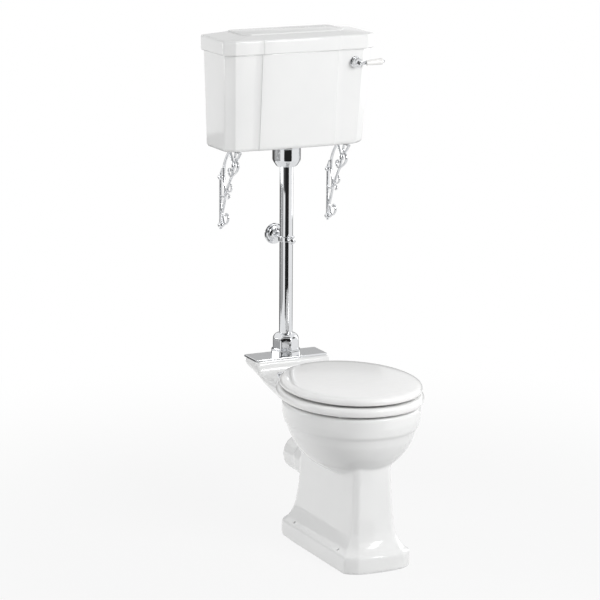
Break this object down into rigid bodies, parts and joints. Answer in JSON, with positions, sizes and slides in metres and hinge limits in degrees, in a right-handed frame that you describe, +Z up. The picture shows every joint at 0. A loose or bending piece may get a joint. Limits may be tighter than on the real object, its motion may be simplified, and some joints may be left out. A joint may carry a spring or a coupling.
{
  "type": "medium level toilet",
  "caption": "Medium level toilet: a floor-standing pan with seat and lid, joined by a flush pipe to a wall-hung cistern on scrolled brackets, with a side lever.",
  "frame": {"origin": "centre of the pan's foot on the floor, in the pan's plane of symmetry", "axes": "+Z up, the bowl's front faces -Y, +X to the right of someone facing it from the front; the wall is the plane y = 0.465 m"},
  "size_m": [0.4808, 0.716, 1.398],
  "materials": {
    "glazed_ceramic": "white vitreous china, high gloss glaze",
    "grip_ceramic": "white glazed lever grip",
    "seat_gloss": "white gloss seat",
    "chrome": "bright polished chrome plate",
    "bumper_rubber": "pale soft buffer",
    "seal_rubber": "black rubber seal",
    "brass": "plain turned brass",
    "white_plastic": "moulded white plastic",
    "float_plastic": "moulded orange float"
  },
  "bodies": {
    "root": {"pan_bowl": "glazed_ceramic", "pan_shelf": "glazed_ceramic", "pan_pedestal": "glazed_ceramic", "pan_outlet": "glazed_ceramic", "hinge_posts": "chrome", "hinge_pins": "chrome", "hinge_bolts": "chrome", "hinge_washers": "seal_rubber", "hinge_nuts": "white_plastic", "cover_plate": "chrome", "inlet_seal": "seal_rubber", "pan_flange": "chrome", "pan_nut": "chrome", "flush_pipe": "chrome", "clip_rosette": "chrome", "clip_band": "chrome", "clip_knob": "chrome", "bell_cup": "chrome", "tail_nut": "chrome", "pipe_nut": "chrome", "tail_washer": "seal_rubber", "bracket_left": "chrome", "bracket_right": "chrome", "bracket_screws": "chrome", "cistern": "glazed_ceramic", "lever_rose": "chrome", "lever_nut": "brass", "siphon_body": "white_plastic", "fill_valve": "white_plastic", "valve_nut": "brass", "valve_washer": "seal_rubber", "float_pin": "chrome"},
    "seat_lid_swing": {"seat_lid": "seat_gloss", "lid_bumpers": "bumper_rubber", "lid_hinge_leaves": "chrome"},
    "seat_ring_swing": {"seat_ring": "seat_gloss", "ring_bumpers": "bumper_rubber", "ring_hinge_leaves": "chrome"},
    "cistern_cover": {"cistern_lid": "glazed_ceramic"},
    "lever": {"lever_hub": "chrome", "lever_grip": "grip_ceramic", "lever_tip": "chrome", "lever_arm": "chrome"},
    "plunger": {"siphon_plunger": "white_plastic", "siphon_flap": "seal_rubber"},
    "float_swing": {"float_arm": "brass", "float": "float_plastic"}
  },
  "joints": [
    {"name": "lid_hinge", "type": "hinge", "parent": "root", "child": "seat_lid_swing", "pos_m": [0, 0.228, 0.455], "axis": [-1, 0, 0], "range_deg": [0, 100]},
    {"name": "ring_hinge", "type": "hinge", "parent": "root", "child": "seat_ring_swing", "pos_m": [0, 0.228, 0.455], "axis": [-1, 0, 0], "range_deg": [0, 100]},
    {"name": "lever_turn", "type": "hinge", "parent": "root", "child": "lever", "pos_m": [0.17, 0.3029, 1.31], "axis": [0, 0.9968, 0.0803], "range_deg": [0, 30]},
    {"name": "plunger_lift", "type": "slide", "parent": "root", "child": "plunger", "axis": [0, 0, 1], "range_m": [0, 0.0506]},
    {"name": "float_rise", "type": "hinge", "parent": "root", "child": "float_swing", "pos_m": [0.15409, 0.429, 1.288], "axis": [0, 1, 0], "range_deg": [0, 40]},
    {"name": "cover_lift", "type": "slide", "parent": "root", "child": "cistern_cover", "axis": [0, 0, 1], "range_m": [0, 0.12]}
  ],
  "couplings": [
    {"joint": "ring_hinge", "follows": "lid_hinge", "ratio": 1},
    {"joint": "plunger_lift", "follows": "lever_turn", "m_per_rad": 0.09652}
  ]
}
